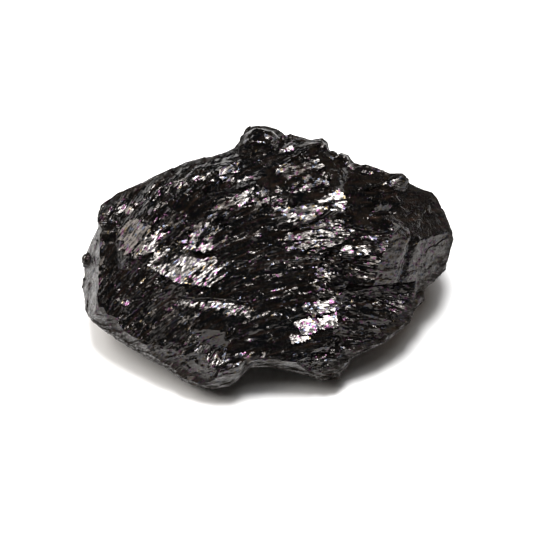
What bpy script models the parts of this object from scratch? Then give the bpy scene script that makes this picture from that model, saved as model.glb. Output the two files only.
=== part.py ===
"""Shungite nugget: one solid lump of black, glassy mineral with broken faces, ledges and chips."""

import itertools
import math

import bmesh
import bpy
import numpy as np
from mathutils import noise

# Lengths are in millimetres until the mesh is made, angles in degrees.
MM = 0.001
NODE = "shungite_nugget"

# The nugget is drawn in the frame of its rim, the widest line around it. The rim lies on a plane that
# leans this much off level: u runs right along it, v up its slope, and w straight out of it.
RIM_LEAN = 55.0

# The heart is the point in the rim's plane that every ray to the surface starts from. It stands where it
# brings the middle of the nugget's box over the origin and the three seats down to the ground.
HEART = (-0.12, 0.33, 12.2)

# Corners of the rim (u, v), anticlockwise from its left end. Knobs and notches narrower than the softening
# angle fade out towards the front and the back. The softening looks this many such angles to each side.
RIM = (
    (-22.4, -0.8), (-22.5, -3.6), (-21.8, -7.4), (-20.2, -8.8), (-18.7, -9.8), (-15.1, -12.1),
    (-11.4, -14.3), (-10.1, -15.3), (-8.3, -16.0), (-6.4, -16.2), (-4.6, -16.0), (-3.4, -15.1),
    (-2.6, -13.3), (-1.7, -13.2), (1.5, -13.7), (5.4, -14.7), (6.6, -15.0), (7.9, -14.8),
    (9.1, -13.8), (10.8, -12.2), (14.5, -10.4), (17.3, -8.2), (18.1, -6.5), (19.2, -5.4),
    (19.3, -4.0), (21.8, -1.6), (22.6, 1.9), (22.2, 3.9), (21.4, 5.8), (20.9, 6.9), (20.1, 7.7),
    (18.6, 8.1), (17.1, 8.8), (16.9, 9.6), (16.5, 10.0), (15.7, 10.0), (14.9, 9.9), (13.6, 10.5),
    (12.2, 11.1), (11.0, 10.9), (10.4, 11.5), (10.0, 12.3), (9.1, 12.6), (8.4, 12.0), (7.5, 12.7),
    (7.4, 13.6), (6.8, 14.2), (5.4, 14.1), (4.2, 14.5), (3.1, 14.9), (2.3, 14.6), (1.5, 15.4),
    (-0.7, 16.2), (-2.0, 16.2), (-2.6, 15.4),
    (-3.0, 14.3), (-3.9, 13.1), (-5.4, 12.4), (-9.9, 11.3), (-14.3, 9.2), (-18.2, 7.5),
    (-20.1, 6.1), (-20.5, 4.1), (-20.4, 3.2), (-21.6, 1.0),
)
RIM_FADE = 20.0
RIM_SOFTEN = 12
RIM_WINDOW = 5

# The dome that the rim carries on its front and its back. A power of 2 would be an ellipsoid, and a higher
# one is boxier.
FRONT_DEPTH = 11.0
BACK_DEPTH = 12.0
DOME_POWER = 2.3

# A ray this close to lying in a plane never meets it, and a tool's middle stays this share inside the rim.
GRAZING = 1e-6
INSIDE_RIM = 0.99

SMOOTH, RIBBED, HACKLY, SATIN = 0.0, 1.0, 2.0, 3.0
FRONT, BACK = 1.0, -1.0

# Broken faces: the middle (u, v) and its side of the rim, how the face leans right and up from straight
# out of the rim, how deep it cuts, and its finish.
FACES = {
    "left_end": ((-21.4, -2.0), FRONT, -66, 4, 0.7, SMOOTH),
    "left_bevel": ((-19.5, -2.4), FRONT, -44, 6, 0.7, RIBBED),
    "left_face": ((-12.0, 1.5), FRONT, -10, 2, 1.4, RIBBED),
    "upper_left": ((-12.5, 8.0), FRONT, -20, 48, 0.7, RIBBED),
    "upper_left_rim": ((-14.5, 8.9), FRONT, -22, 54, 0.35, SATIN),
    "left_shoulder": ((-18.9, 6.0), FRONT, -40, 38, 0.25, HACKLY),
    "brow": ((1.0, 10.5), FRONT, 4, 40, 1.2, RIBBED),
    "mid_right": ((6.0, 3.5), FRONT, 3, 14, 0.9, RIBBED),
    "upper_right": ((15.0, 7.0), FRONT, 28, 38, 1.5, RIBBED),
    "centre": ((1.0, -3.0), FRONT, -2, -8, 1.2, SATIN),
    "lower_left": ((-13.0, -8.0), FRONT, -12, -13, 1.7, HACKLY),
    "lower_left_rim": ((-15.0, -11.0), FRONT, -26, -46, 0.0, RIBBED),
    "lower_mid": ((1.0, -9.5), FRONT, 2, -10, 2.3, SATIN),
    "lower_right": ((13.0, -8.0), FRONT, 30, -44, 0.6, HACKLY),
    "right_low_rim": ((15.0, -9.0), FRONT, 42, -52, 0.1, HACKLY),
    "block_front": ((15.0, -0.4), FRONT, 35, -17, 1.3, SMOOTH),
    "block_side": ((19.4, -0.6), FRONT, 46, -12, 1.9, SMOOTH),
    "block_top": ((18.4, 3.6), FRONT, 38, 22, 2.1, SMOOTH),
    "block_rim": ((20.6, 4.0), FRONT, 42, 26, 0.2, SATIN),
    "back_left": ((-12.0, 1.0), BACK, -26, 10, 1.2, HACKLY),
    "back_top": ((0.0, 9.0), BACK, 6, 44, 1.2, RIBBED),
    "back_right": ((13.0, 3.0), BACK, 34, 14, 1.2, SMOOTH),
    "back_low": ((2.0, -8.0), BACK, -4, -40, 0.8, HACKLY),
    "back_end": ((-19.0, 2.0), BACK, -60, 8, 0.6, RIBBED),
    "underside": ((0.0, -8.5), BACK, 0, -35, 2.1, HACKLY),
}

# Shell-shaped scars, each the print of a ball: the middle and side, lean right and up, the ball's radius,
# the scar's depth below the dome, and its finish. Their edges wander, as a break's edges do.
SCARS = {
    "central_hollow": ((0.8, -3.2), FRONT, -4, -8, 18.0, 2.5, SATIN),
    "brow_hollow": ((2.5, 10.0), FRONT, 2, 34, 8.0, 1.9, SATIN),
    "seat_hollow": ((1.0, -9.5), BACK, 4, -45, 16.0, 3.2, HACKLY),
    "back_shell": ((-5.0, 4.0), BACK, -10, 20, 11.0, 2.2, SMOOTH),
    "back_bite": ((9.0, -2.0), BACK, 14, -20, 8.0, 2.0, HACKLY),
}
SCAR_WANDER = 0.12
SCAR_WAVES = 3.0
SCAR_SHIFTS = (11.3, 27.9, 43.1)

# Flat-floored bites: the middle of the floor and its side, lean right and up, roll, the floor's half
# length and half width, its depth below the dome, and its finish.
BITES = {
    "under_block": ((14.0, -8.0), FRONT, 14, -12, 0, 5.8, 4.4, 2.8, HACKLY),
    "beside_block": ((11.4, 0.6), FRONT, 10, -14, -30, 1.5, 3.9, 2.2, HACKLY),
    "back_notch": ((-14.0, -4.0), BACK, -30, -10, 20, 3.0, 2.4, 1.6, HACKLY),
}
BITE_HEIGHT = 4.0

# Blocks that stand proud: the middle (u, v, w), lean right and up, roll, the half length, width and height,
# how far out the cut edges stay (1 is uncut), and the finish.
BLOCKS = {
    "knob": ((-0.7, 12.8, 1.4), 4, 38, -10, (2.7, 2.4, 2.6), 0.70, SMOOTH),
    "block_head": ((13.8, 0.9, 5.3), 35, -17, -16, (2.0, 3.5, 2.5), 0.85, SMOOTH),
    "low_shelf": ((16.9, -4.4, 0.85), 12, -14, -10, (1.9, 1.3, 2.0), 0.80, HACKLY),
}

# Rounded lumps that stand proud, with the same values as the blocks but for the cut edges. The three
# seats carry the nugget: each points straight down and is cut off flat at the ground.
LUMPS = {
    "foot": ((-6.2, -11.9, 1.2), -6, -24, -4, (4.6, 3.7, 4.2), RIBBED),
    "crown_lump": ((3.4, 13.3, 0.8), 4, 38, -8, (2.2, 1.6, 1.8), RIBBED),
    "ridge_lump": ((8.0, 11.3, 1.2), 6, 40, -20, (1.5, 1.3, 1.5), HACKLY),
    "shoulder_lump": ((10.7, 10.2, 1.4), 8, 40, -20, (1.2, 1.2, 1.5), HACKLY),
    "end_crumb": ((-22.0, -0.6, 0.3), -30, 0, 0, (0.7, 0.9, 0.8), HACKLY),
    "low_lump": ((6.8, -12.2, 0.0), 4, -34, -12, (3.7, 2.8, 3.6), HACKLY),
    "front_seat": ((-8.1, -11.4, -3.5), 0, 35, 0, (4.4, 3.3, 3.4), HACKLY),
    "right_seat": ((10.7, -7.7, -6.4), 0, 35, 0, (4.6, 3.8, 3.4), HACKLY),
    "back_seat": ((-2.7, -1.0, -10.75), 0, 35, 0, (5.0, 4.2, 3.4), HACKLY),
    "corner_lump": ((16.3, 8.9, 2.6), 10, 40, 0, (1.1, 1.0, 1.5), HACKLY),
}

# Facets, the small planes that the front is broken into: the middle (u, v), half length and half width,
# roll, how it leans right and up, how far its middle stands above what it breaks, and its finish.
FACETS = {
    "left_pane": ((-15.6, 2.2), (2.0, 2.3), 10, -15, 12, -0.4, SMOOTH),
    "left_shine": ((-13.4, 1.8), (2.7, 1.0), 56, 1, 14, -0.4, SMOOTH),
    "left_tile": ((-18.0, 5.4), (0.8, 0.7), 15, 2, 14, -0.5, SMOOTH),
    "left_tile_end": ((-16.4, 5.8), (0.9, 0.6), 15, -12, 16, -0.4, SMOOTH),
    "left_groove": ((-12.7, 1.1), (3.5, 0.5), 44, 20, -10, -0.3, SMOOTH),
    "left_ridge": ((-12.6, -0.4), (3.2, 0.6), 43, 8, 2, 0.2, SMOOTH),
    "left_ribs": ((-10.1, -2.3), (5.0, 3.6), 38, 1, 14, 0.15, SATIN),
    "left_lip": ((-8.0, 0.9), (2.4, 0.5), 4, 0, 14, 0.4, SMOOTH),
    "left_streaks": ((-8.0, 2.4), (3.3, 0.9), 28, 1, 14, 0.2, RIBBED),
    "left_dark": ((-9.6, 5.8), (3.6, 1.8), 12, 8, 34, -0.1, HACKLY),
    "left_low": ((-15.9, -3.6), (3.0, 2.0), 0, -10, -6, 0.0, HACKLY),
    "left_low_tile": ((-17.1, -5.7), (1.0, 0.5), 10, -2, 14, 0.1, SMOOTH),
    "upper_spark": ((-4.8, 10.7), (1.6, 1.2), 0, 1, 13, 0.3, SATIN),
    "upper_ticks": ((-12.5, 8.2), (2.8, 0.8), 24, -8, 20, 0.1, HACKLY),
    "upper_tile": ((-8.3, 9.2), (1.2, 0.4), 25, 0, 15, 0.2, SMOOTH),
    "knob_tile": ((0.9, 14.0), (1.0, 0.6), 0, 0, 16, 0.1, HACKLY),
    "crown_tile": ((2.6, 13.2), (0.9, 0.5), 0, 0, 15, 0.1, SMOOTH),
    "brow_sparks": ((5.4, 11.4), (2.2, 1.0), 10, 2, 24, 0.0, HACKLY),
    "brow_tile": ((7.3, 9.5), (0.9, 0.6), 0, 0, 14, 0.1, HACKLY),
    "brow_lip": ((-4.1, 9.1), (4.2, 0.25), 4, 0, 14, 0.2, SATIN),
    "wedge": ((-2.4, 6.6), (1.2, 0.7), 30, 0, 14, 0.1, SMOOTH),
    "wedge_end": ((-0.9, 6.3), (1.0, 0.7), 0, -8, 8, 0.0, SMOOTH),
    "upper_ribs": ((0.8, 7.2), (1.5, 1.0), 0, 0, 17, 0.0, RIBBED),
    "top_ribs": ((5.4, 8.6), (3.0, 0.7), 8, 0, 16, 0.4, RIBBED),
    "top_gap": ((4.9, 7.1), (2.8, 0.8), 8, 4, 38, -0.1, SMOOTH),
    "pale_pane": ((4.4, 5.0), (3.4, 1.3), 5, -4, 22, 0.0, SMOOTH),
    "white_patch": ((8.5, 6.4), (1.5, 1.4), 0, 0, 14, 0.3, SMOOTH),
    "mid_ribs": ((6.2, 2.5), (4.0, 2.0), 8, 0, 14, 0.2, RIBBED),
    "rib_ends": ((5.6, -0.1), (2.2, 0.8), 0, 0, 13, 0.1, HACKLY),
    "valley_rim": ((6.8, -2.4), (1.2, 3.0), 0, -4, 5, 0.0, HACKLY),
    "valley_tile": ((11.6, 0.7), (1.0, 0.6), -60, 0, 14, 0.1, SMOOTH),
    "valley_dot": ((12.4, 1.8), (0.5, 0.5), 0, 0, 14, 0.1, SMOOTH),
    "valley_chip": ((11.1, -2.1), (0.8, 0.5), -30, 0, 14, 0.1, SMOOTH),
    "valley_edge": ((9.7, 1.0), (0.5, 0.6), 0, 0, 14, 0.1, SMOOTH),
    "valley_side": ((11.6, 6.0), (1.4, 2.6), 0, 26, 34, -0.5, RIBBED),
    "block_edge": ((13.9, 2.0), (1.2, 0.3), 55, 0, 14, 0.2, SMOOTH),
    "right_streak": ((12.7, 5.7), (1.2, 0.3), 40, 0, 13, 0.1, HACKLY),
    "arc_streak": ((16.4, 5.0), (2.4, 0.3), -8, 4, 20, 0.1, RIBBED),
    "corner_tile": ((14.8, 8.9), (1.1, 0.6), -5, 0, 14, 0.0, SMOOTH),
    "corner_hollow": ((12.2, 8.9), (2.0, 0.9), 5, 10, 52, -0.3, SMOOTH),
    "flake_top": ((7.0, -6.1), (1.8, 1.3), 38, 1, 13, 0.2, SATIN),
    "flake_mid": ((5.6, -8.0), (2.4, 1.3), 38, -1, 13, 0.0, SMOOTH),
    "flake_side": ((7.6, -7.4), (1.1, 1.5), 0, 2, 12, 0.0, SMOOTH),
    "flake_tip": ((4.3, -9.6), (1.2, 0.5), 60, 0, 15, 0.1, SMOOTH),
    "low_flake": ((8.0, -11.3), (1.4, 1.1), 0, -1, 15, -0.9, HACKLY),
    "low_ribs": ((13.0, -4.6), (2.8, 1.1), -8, 18, -32, 0.0, RIBBED),
    "low_round": ((13.9, -7.5), (2.0, 0.8), 10, 10, -34, 0.1, SMOOTH),
    "low_sparks": ((16.9, -6.3), (1.3, 0.7), 30, 0, 12, 0.1, HACKLY),
    "low_corner": ((17.8, -7.2), (1.4, 0.9), 20, 24, -38, 0.0, SMOOTH),
    "lens": ((-3.4, -7.0), (1.4, 0.6), -5, 0, 13, 0.2, RIBBED),
    "dark_plate": ((-11.4, -8.5), (3.4, 2.2), 0, -8, -10, 0.0, RIBBED),
    "triangle": ((-6.4, -9.9), (2.0, 1.3), -25, -2, -38, 0.0, SMOOTH),
    "plate_sparks": ((-8.9, -9.1), (0.9, 1.4), 0, 0, 9, 0.1, HACKLY),
    "foot_sparks": ((-1.5, -12.2), (1.4, 0.8), 0, 0, 6, 0.1, HACKLY),
}

# A facet's outline is between an ellipse (power 2) and a rectangle, and breaks off along the grains of the
# stone: this share of the way it follows their edges. It ends where it would stand further than the bulge
# out of what it breaks; towards the rim the bulge shrinks to nothing. Its middle is found in a few steps.
FACET_POWER = 3.0
GRAIN = (1.5, 0.7, 1.1)
GRAIN_SHARE = 0.85
FACET_BULGE = 1.6
FACET_GRAZE = 0.1
FACET_STEPS = 6

# Valleys and creases on the front: the route (u, v), the half width and the depth.
VALLEYS = {
    "right_valley": (
        ((10.4, 10.5), (10.0, 7.0), (10.7, 3.5), (10.1, 0.0), (10.6, -3.5), (9.4, -11.0)), 1.0, 0.6),
    "left_valley": (((-10.2, 3.6), (-13.0, 1.0), (-15.4, -1.5)), 0.6, 1.0),
    "low_ledge": (((-11.0, -5.6), (-7.0, -5.8), (-2.4, -6.2)), 0.4, 0.6),
    "edge_valley": (((-18.9, 4.0), (-18.7, -2.0), (-18.4, -8.0)), 0.6, 0.5),
    "foot_ledge": (((-11.0, -13.2), (-7.0, -12.6), (-3.0, -12.9)), 0.5, 0.6),
    "block_seam": (((17.4, 1.6), (16.9, -0.6), (16.1, -3.4)), 0.3, 0.3),
    "block_arc": (((10.6, 3.6), (12.8, 5.2), (15.4, 5.6)), 0.5, 0.6),
}

# Bedding: the stone breaks along curved layers that rise to the right on the left half of the nugget and
# level out towards its right end. The rise is a slope, the bend and curl change it per millimetre.
BEDDING_RISE = 0.304
BEDDING_BEND = -0.0437
BEDDING_CURL = 0.00076
BEDDING_DIP = 0.35

# Ledges along the layers, coarse and fine: length along the layers, spacing across them, and height.
LEDGES = (
    (14.0, 3.2, 0.60),
    (9.0, 1.7, 0.38),
)
LEDGE_TREADS = 3.0
LEDGE_RISER = 0.4

# Chips, small facets tilted at random, coarse and fine: length along the layers, width across, and height.
CHIPS = (
    (5.0, 3.4, 0.40),
    (2.6, 1.6, 0.28),
)
CHIP_SEED = 9.7

# How strongly ledges and chips show on the smooth, ribbed, hackly and satin finish, and how far the surface
# sinks under them so that their tops stay at the planned face.
FINISHES = (SMOOTH, RIBBED, HACKLY, SATIN)
LEDGE_SHARE = (0.16, 1.0, 0.55, 0.30)
CHIP_SHARE = (0.32, 0.50, 1.0, 0.45)
DETAIL_SINK = (0.05, 0.40, 0.40, 0.10)

# The mesh: rays pass through the points of an even sphere stretched to these half sizes, and the fine
# surface is thinned to this many triangles.
SPREAD = (22.5, 16.1, 12.0)
SPHERE_SUBDIVISIONS = 7
TRIANGLES = 9400

# Jet black, glassy.
COLOUR = (0.0012, 0.0009, 0.0009, 1.0)
ROUGHNESS = 0.17
REFRACTION = 1.45


def unit(right, up, side=FRONT):
    """Unit vector that leans right and up from straight out of one side of the rim."""
    right, up = math.radians(right), math.radians(up)
    across = math.cos(up)
    return np.array((math.sin(right) * across, math.sin(up), side * math.cos(right) * across))


def rim_axes():
    """The rim's u, v and w as rows in the nugget's own frame."""
    lean = math.radians(RIM_LEAN)
    return np.array((
        (1.0, 0.0, 0.0),
        (0.0, math.sin(lean), math.cos(lean)),
        (0.0, -math.cos(lean), math.sin(lean)),
    ))


def rim_reach(bearing):
    """Distance from the heart to the rim's outline, for bearings in the rim's plane."""
    points = np.array(RIM)
    corner = np.arctan2(points[:, 1], points[:, 0])
    order = np.argsort(corner)
    points, corner = points[order], corner[order]
    after = np.searchsorted(corner, bearing) % len(points)
    start, edge = points[after - 1], points[after] - points[after - 1]
    across = np.cos(bearing) * edge[:, 1] - np.sin(bearing) * edge[:, 0]
    return (start[:, 0] * edge[:, 1] - start[:, 1] * edge[:, 0]) / across


def soft_rim_reach(bearing):
    """The same distance with the knobs and notches averaged away."""
    degrees = np.radians(np.arange(-180.0, 180.0))
    reach = rim_reach(degrees)
    window = RIM_WINDOW * RIM_SOFTEN
    weight = np.exp(-0.5 * (np.arange(-window, window + 1) / RIM_SOFTEN) ** 2)
    padded = np.concatenate((reach[-window:], reach, reach[:window]))
    smooth = np.convolve(padded, weight / weight.sum(), mode="valid")
    return np.interp(bearing, degrees, smooth, period=2 * math.pi)


def dome_reach(rays):
    """Distance from the heart to the dome along unit rays."""
    flat = np.hypot(rays[:, 0], rays[:, 1])
    bearing = np.arctan2(rays[:, 1], rays[:, 0])
    off_rim = np.arctan2(np.abs(rays[:, 2]), flat)
    soft = soft_rim_reach(bearing)
    rim = soft + (rim_reach(bearing) - soft) * np.exp(-(off_rim / math.radians(RIM_FADE)) ** 2)
    depth = np.where(rays[:, 2] > 0, FRONT_DEPTH, BACK_DEPTH)
    return ((flat / rim) ** DOME_POWER + (np.abs(rays[:, 2]) / depth) ** DOME_POWER) ** (-1 / DOME_POWER)


def on_dome(middle, side):
    """Point of the dome straight above a place (u, v) of the rim's plane."""
    u, v = middle
    reach = soft_rim_reach(np.array((math.atan2(v, u),)))[0]
    share = min(INSIDE_RIM, math.hypot(u, v) / reach)
    depth = FRONT_DEPTH if side > 0 else BACK_DEPTH
    return np.array((u, v, side * depth * (1 - share ** DOME_POWER) ** (1 / DOME_POWER)))


def tool_axes(out, roll):
    """Axes of a tool that points along out: its length, its width and out, turned by roll."""
    length = np.cross((0.0, 1.0, 0.0), out)
    length /= np.linalg.norm(length)
    width = np.cross(out, length)
    turn = math.radians(roll)
    return np.array((
        length * math.cos(turn) + width * math.sin(turn),
        width * math.cos(turn) - length * math.sin(turn),
        out,
    ))


def block_span(rays, middle, axes, half, corner):
    """Where unit rays enter and leave a block whose edges and corners are cut off."""
    slabs = []
    for mix in itertools.product((-1, 0, 1), repeat=3):
        if any(mix):
            direction = (np.array(mix) / half) @ axes
            slabs.append((direction, (sum(map(abs, mix)) - 1) * (2 * corner - 1) + 1))
    enter = np.full(len(rays), -np.inf)
    leave = np.full(len(rays), np.inf)
    for direction, thickness in slabs:
        speed = rays @ direction
        speed = np.where(np.abs(speed) < GRAZING, GRAZING, speed)
        first = (middle @ direction - thickness) / speed
        last = (middle @ direction + thickness) / speed
        enter = np.maximum(enter, np.minimum(first, last))
        leave = np.minimum(leave, np.maximum(first, last))
    return enter, leave


def cut_faces(rays, reach, finish):
    """Cut every ray short at the broken faces' planes."""
    for middle, side, right, up, depth, kind in FACES.values():
        out = unit(right, up, side)
        offset = out @ on_dome(middle, side) - depth
        facing = rays @ out
        hit = np.where(facing > GRAZING, offset / np.maximum(facing, GRAZING), np.inf)
        cut = hit < reach
        reach[cut] = hit[cut]
        finish[cut] = kind


def add_blocks(rays, reach, finish):
    """Let rays run on through the blocks that stand proud."""
    for middle, right, up, roll, half, corner, kind in BLOCKS.values():
        enter, leave = block_span(rays, np.array(middle), tool_axes(unit(right, up), roll), half, corner)
        proud = (leave > enter) & (leave > reach)
        reach[proud] = leave[proud]
        finish[proud] = kind


def add_lumps(rays, reach, finish):
    """Let rays run on through the rounded lumps."""
    for middle, right, up, roll, half, kind in LUMPS.values():
        scale = tool_axes(unit(right, up), roll) / np.array(half)[:, None]
        rays_in, middle_in = rays @ scale.T, scale @ middle
        along = rays_in @ middle_in
        square = (rays_in ** 2).sum(axis=1)
        inside = along ** 2 - square * (middle_in @ middle_in - 1.0)
        leave = (along + np.sqrt(np.maximum(inside, 0.0))) / square
        proud = (inside > 0) & (leave > reach)
        reach[proud] = leave[proud]
        finish[proud] = kind


def noise_at(places):
    return np.array([noise.noise(place) for place in places])


def cut_scars(rays, reach, finish):
    """Cut every ray short where it enters a scar's ball."""
    sway = [noise_at(rays * SCAR_WAVES + shift) for shift in SCAR_SHIFTS]
    bent = rays + SCAR_WANDER * np.stack(sway, axis=1)
    bent /= np.linalg.norm(bent, axis=1)[:, None]
    for middle, side, right, up, radius, depth, kind in SCARS.values():
        out = unit(right, up, side)
        ball = on_dome(middle, side) + out * (radius - depth)
        along = bent @ ball
        inside = along ** 2 - (ball @ ball - radius ** 2)
        enter = along - np.sqrt(np.maximum(inside, 0.0))
        cut = (inside > 0) & (enter > 0) & (enter < reach)
        reach[cut] = enter[cut]
        finish[cut] = kind


def cut_bites(rays, reach, finish):
    """Cut every ray short at the bites' floors and walls."""
    for middle, side, right, up, roll, length, width, depth, kind in BITES.values():
        axes = tool_axes(unit(right, up, side), roll)
        block = on_dome(middle, side) + axes[2] * (BITE_HEIGHT - depth)
        enter, leave = block_span(rays, block, axes, (length, width, BITE_HEIGHT), 1.0)
        cut = (leave > enter) & (enter > 0) & (enter < reach)
        reach[cut] = enter[cut]
        finish[cut] = kind


def cut_valleys(rays, reach):
    """Sink the surface along the valleys' routes."""
    points = rays * reach[:, None]
    for route, half_width, depth in VALLEYS.values():
        gap = np.full(len(rays), np.inf)
        for start, end in zip(route[:-1], route[1:]):
            start, step = np.array(start), np.array(end) - np.array(start)
            share = np.clip(((points[:, :2] - start) @ step) / (step @ step), 0.0, 1.0)
            gap = np.minimum(gap, np.hypot(*(points[:, :2] - start - share[:, None] * step).T))
        reach -= np.where(points[:, 2] > 0, depth * np.exp(-(gap / half_width) ** 2), 0.0)


def broad_reach(rays):
    """Distance from the heart to the nugget's broad shape, and the finish there."""
    reach = dome_reach(rays)
    finish = np.full(len(rays), SATIN)
    cut_faces(rays, reach, finish)
    add_blocks(rays, reach, finish)
    add_lumps(rays, reach, finish)
    cut_scars(rays, reach, finish)
    cut_bites(rays, reach, finish)
    cut_valleys(rays, reach)
    return reach, finish


def facet_middles():
    """Where the facets' middles lie on the front, found by walking each along its own ray to the surface."""
    places = np.array([on_dome(row[0], FRONT) for row in FACETS.values()])
    for _ in range(FACET_STEPS):
        away = np.linalg.norm(places, axis=1)
        places[:, 2] *= broad_reach(places / away[:, None])[0] / away
    return places


def layer_frame(points):
    """Places along the layers, across them and out of the rim."""
    u, v, w = points.T
    rise = BEDDING_RISE * u + BEDDING_BEND * u ** 2 / 2 + BEDDING_CURL * u ** 3 / 3
    return np.stack((u, v - rise + BEDDING_DIP * w, w), axis=1)


def grain_shift(points):
    """How far right and up each point lies from the middle of its own grain."""
    layers = layer_frame(points)
    middles = np.array([noise.voronoi(place)[1][0] for place in layers / GRAIN]) * GRAIN
    return (middles - layers)[:, :2]


def set_facets(rays, reach, finish):
    """Lay the facets over the front. Where two overlap, each point goes to the one it is deeper in."""
    front = rays[:, 2] > 0
    shift = grain_shift(rays * reach[:, None]) * GRAIN_SHARE
    nearest = np.ones(len(rays))
    highest = reach + FACET_BULGE * rays[:, 2]
    for row, centre in zip(FACETS.values(), facet_middles()):
        middle, half, roll, right, up, rise, kind = row
        out = unit(right, up)
        hit = (centre @ out + rise) / np.maximum(rays @ out, FACET_GRAZE)
        places = rays[:, :2] * hit[:, None] + shift - middle
        turn = math.radians(roll)
        along = np.abs(places @ (math.cos(turn), math.sin(turn))) / half[0]
        across = np.abs(places @ (-math.sin(turn), math.cos(turn))) / half[1]
        gap = (along ** FACET_POWER + across ** FACET_POWER) ** (1 / FACET_POWER)
        own = front & (gap < nearest) & (hit < highest)
        nearest[own] = gap[own]
        reach[own] = hit[own]
        finish[own] = kind


def ledge_height(layers):
    """Steps that follow the layers: each has a flat tread, a sharp lip and a ragged end."""
    height = np.zeros(len(layers))
    for length, spacing, size in LEDGES:
        wave = noise_at(layers / (length, spacing, length) + size) * LEDGE_TREADS
        tread = np.floor(wave)
        riser = np.clip((wave - tread - 1.0) / LEDGE_RISER + 1.0, 0.0, 1.0)
        height += size * (tread + riser) / LEDGE_TREADS
    return height


def chip_height(layers):
    """Small facets, each tilted its own way."""
    height = np.zeros(len(layers))
    for length, width, size in CHIPS:
        places = layers / (length, width, length)
        middles = np.array([noise.voronoi(place)[1][0] for place in places])
        tilts = np.array([noise.cell_vector(seed) for seed in middles * CHIP_SEED])
        height += size * (((places - middles) * tilts).sum(axis=1) + tilts[:, 0] / 2)
    return height


def planned_reach(rays):
    """Distance from the heart to the surface before its ledges and chips, and the finish there."""
    reach, finish = broad_reach(rays)
    set_facets(rays, reach, finish)
    return reach, finish


def nugget_reach(rays):
    """Distance from the heart to the nugget's surface, with its ledges and chips."""
    reach, finish = planned_reach(rays)
    layers = layer_frame(rays * reach[:, None])
    reach += ledge_height(layers) * np.interp(finish, FINISHES, LEDGE_SHARE)
    reach += chip_height(layers) * np.interp(finish, FINISHES, CHIP_SHARE)
    reach -= np.interp(finish, FINISHES, DETAIL_SINK)
    return reach


def fine_surface():
    """The nugget's surface as an even mesh, with every ledge and chip."""
    shell = bmesh.new()
    bmesh.ops.create_icosphere(shell, subdivisions=SPHERE_SUBDIVISIONS, radius=1.0)
    rays = np.array([vert.co for vert in shell.verts]) * SPREAD
    rays /= np.linalg.norm(rays, axis=1)[:, None]
    places = (rays * nugget_reach(rays)[:, None]) @ rim_axes() + HEART
    for vert, place in zip(shell.verts, places):
        vert.co = place * MM
    mesh = bpy.data.meshes.new(NODE)
    shell.to_mesh(mesh)
    shell.free()
    return mesh


def thinned(mesh):
    """The same surface with fewer triangles, kept where it bends most."""
    holder = bpy.data.objects.new("holder", mesh)
    bpy.context.scene.collection.objects.link(holder)
    thin = holder.modifiers.new("thin", "DECIMATE")
    thin.ratio = TRIANGLES / len(mesh.polygons)
    result = bpy.data.meshes.new_from_object(holder.evaluated_get(bpy.context.evaluated_depsgraph_get()))
    bpy.data.objects.remove(holder)
    return result


def cut_seats(mesh):
    """Cut the seats off flat at the ground."""
    shell = bmesh.new()
    shell.from_mesh(mesh)
    whole = list(shell.verts) + list(shell.edges) + list(shell.faces)
    bmesh.ops.bisect_plane(shell, geom=whole, plane_no=(0, 0, 1), clear_inner=True)
    rims = [edge for edge in shell.edges if edge.is_boundary]
    bmesh.ops.edgeloop_fill(shell, edges=rims)
    shell.to_mesh(mesh)
    shell.free()


def shungite():
    """Black glassy mineral: dark all through, and bright only where it mirrors a light."""
    material = bpy.data.materials.new("shungite")
    material.use_nodes = True
    surface = material.node_tree.nodes["Principled BSDF"]
    surface.inputs["Base Color"].default_value = COLOUR
    surface.inputs["Roughness"].default_value = ROUGHNESS
    surface.inputs["Metallic"].default_value = 0.0
    surface.inputs["IOR"].default_value = REFRACTION
    return material


def make_nugget():
    """The one piece: a lump of stone standing on its three seats."""
    mesh = thinned(fine_surface())
    cut_seats(mesh)
    mesh.materials.append(shungite())
    bpy.context.scene.collection.objects.link(bpy.data.objects.new(NODE, mesh))


for old in list(bpy.data.objects):
    bpy.data.objects.remove(old)
make_nugget()
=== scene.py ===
import itertools
import math

import bmesh
import bpy
import numpy as np
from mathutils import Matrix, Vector, noise


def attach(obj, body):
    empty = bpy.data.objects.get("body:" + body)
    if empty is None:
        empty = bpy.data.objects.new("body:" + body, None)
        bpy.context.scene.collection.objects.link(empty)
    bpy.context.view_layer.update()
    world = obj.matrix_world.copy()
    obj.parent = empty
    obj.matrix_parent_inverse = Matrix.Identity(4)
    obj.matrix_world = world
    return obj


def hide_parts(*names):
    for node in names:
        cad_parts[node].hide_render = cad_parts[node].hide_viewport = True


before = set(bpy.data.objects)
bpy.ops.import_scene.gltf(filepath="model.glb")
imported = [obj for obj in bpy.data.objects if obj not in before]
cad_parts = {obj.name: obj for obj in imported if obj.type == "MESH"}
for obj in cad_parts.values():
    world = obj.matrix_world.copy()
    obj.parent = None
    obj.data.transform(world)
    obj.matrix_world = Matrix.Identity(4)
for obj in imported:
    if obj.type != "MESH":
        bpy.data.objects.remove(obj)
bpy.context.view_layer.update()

# ---------------------------------------------------------------------------------------------
# Nugget. A natural lump of elite shungite, the nearly pure carbon mineral, broken from its vein by hand.
# It has never been cut or polished: its faces, ledges and chips are breaks, as glossy as coal, and only
# its edge is rubbed matt. A dark brown shade is painted into what that edge mirrors.
# ---------------------------------------------------------------------------------------------

# The nugget is drawn in the frame of its rim, the widest line around it, in millimetres. The rim lies on a
# sloping plane: u runs right along it, v up its slope, and w straight out, this many degrees above level.
RIM_LEAN = 55.0

# The heart is the point in the rim's plane that every ray to the surface starts from. It stands where it
# brings the middle of the nugget's box over the origin and the three seats down to the ground.
HEART = (-0.12, 0.33, 12.2)

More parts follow.
